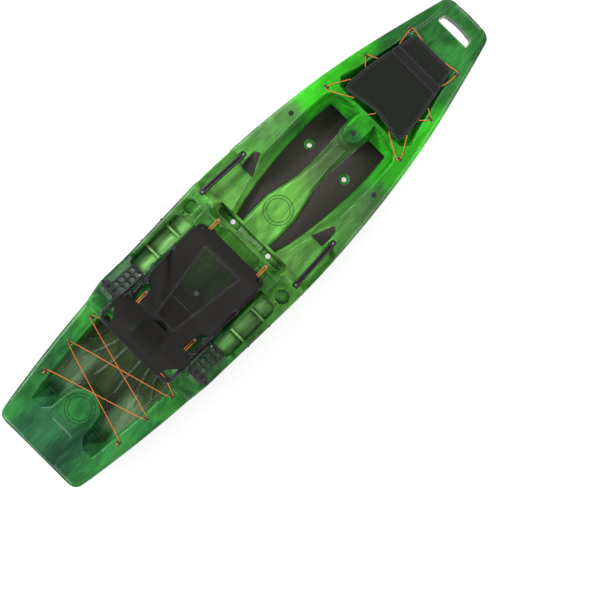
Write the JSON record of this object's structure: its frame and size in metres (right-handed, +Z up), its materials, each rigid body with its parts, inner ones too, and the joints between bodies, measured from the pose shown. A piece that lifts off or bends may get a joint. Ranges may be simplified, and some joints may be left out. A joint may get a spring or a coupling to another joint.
{
  "type": "sit-on-top fishing kayak",
  "caption": "Short wide sit-on-top fishing kayak with a moulded hull, a raised framed seat whose back folds, side rails, a laced bow cover, a rear tankwell and a drain plug that turns.",
  "frame": {"origin": "middle of the bounding box's bottom face, under the hull between the two pontoons, at the height of the floor that the pontoons stand on", "axes": "+X along the hull to the bow, +Y to port, +Z up"},
  "size_m": [3.505, 0.8894, 0.73],
  "materials": {
    "hull_plastic": "rotomoulded, mottled greens, low sheen",
    "pad_foam": "closed-cell foam sheet, matte",
    "black_plastic": "moulded, matte",
    "steel": "stainless, satin",
    "frame_tube": "black anodised, satin",
    "foot_rubber": "moulded, matte",
    "seat_mesh": "woven, with a see-through middle",
    "webbing": "woven, matte",
    "cover_mesh": "open mesh, dark green-black",
    "bungee": "braided, orange",
    "bead_plastic": "moulded, orange"
  },
  "bodies": {
    "hull": {"kayak_hull": "hull_plastic", "foot_pad_port": "pad_foam", "foot_pad_starboard": "pad_foam", "side_pad_port": "pad_foam", "side_pad_starboard": "pad_foam", "side_rail_port": "black_plastic", "side_rail_starboard": "black_plastic", "rail_screws": "steel", "accessory_inserts": "black_plastic", "tie_down_cords": "bungee", "tie_down_beads": "bead_plastic", "tie_down_screws": "steel", "bow_cover": "cover_mesh", "cover_hem": "webbing", "cover_lashing": "bungee", "pad_eyes": "black_plastic", "pad_eye_screws": "steel", "tankwell_bungee": "bungee", "tool_holder_port": "black_plastic", "tool_holder_starboard": "black_plastic", "tool_holder_rods": "frame_tube", "side_studs": "black_plastic", "drain_gasket": "foot_rubber"},
    "seat": {"seat_pan_frame": "frame_tube", "hinge_bracket_port": "black_plastic", "hinge_bracket_starboard": "black_plastic", "hinge_bolts": "steel", "seat_feet": "foot_rubber", "seat_pan_fabric": "seat_mesh", "lower_strap_clamps": "black_plastic", "recline_strap_port": "webbing", "recline_strap_starboard": "webbing", "strap_buckle_port": "black_plastic", "strap_buckle_starboard": "black_plastic"},
    "seat_back": {"seat_back_frame": "frame_tube", "seat_back_fabric": "seat_mesh", "upper_strap_clamps": "black_plastic"},
    "drain_plug": {"drain_plug": "black_plastic"}
  },
  "joints": [
    {"name": "seat_lift", "type": "slide", "parent": "hull", "child": "seat", "axis": [0, 0, 1], "range_m": [0, 0.25], "deforming": ["tie_down_cords"]},
    {"name": "seat_back_fold", "type": "hinge", "parent": "seat", "child": "seat_back", "pos_m": [-0.6, 0, 0.39264], "axis": [0, 1, 0], "range_deg": [0, 97], "deforming": ["recline_strap_port", "recline_strap_starboard", "strap_buckle_port", "strap_buckle_starboard"]},
    {"name": "drain_plug_turn", "type": "hinge", "parent": "hull", "child": "drain_plug", "pos_m": [-1.7185, 0, 0.112], "axis": [1, 0, 0], "continuous": true}
  ]
}
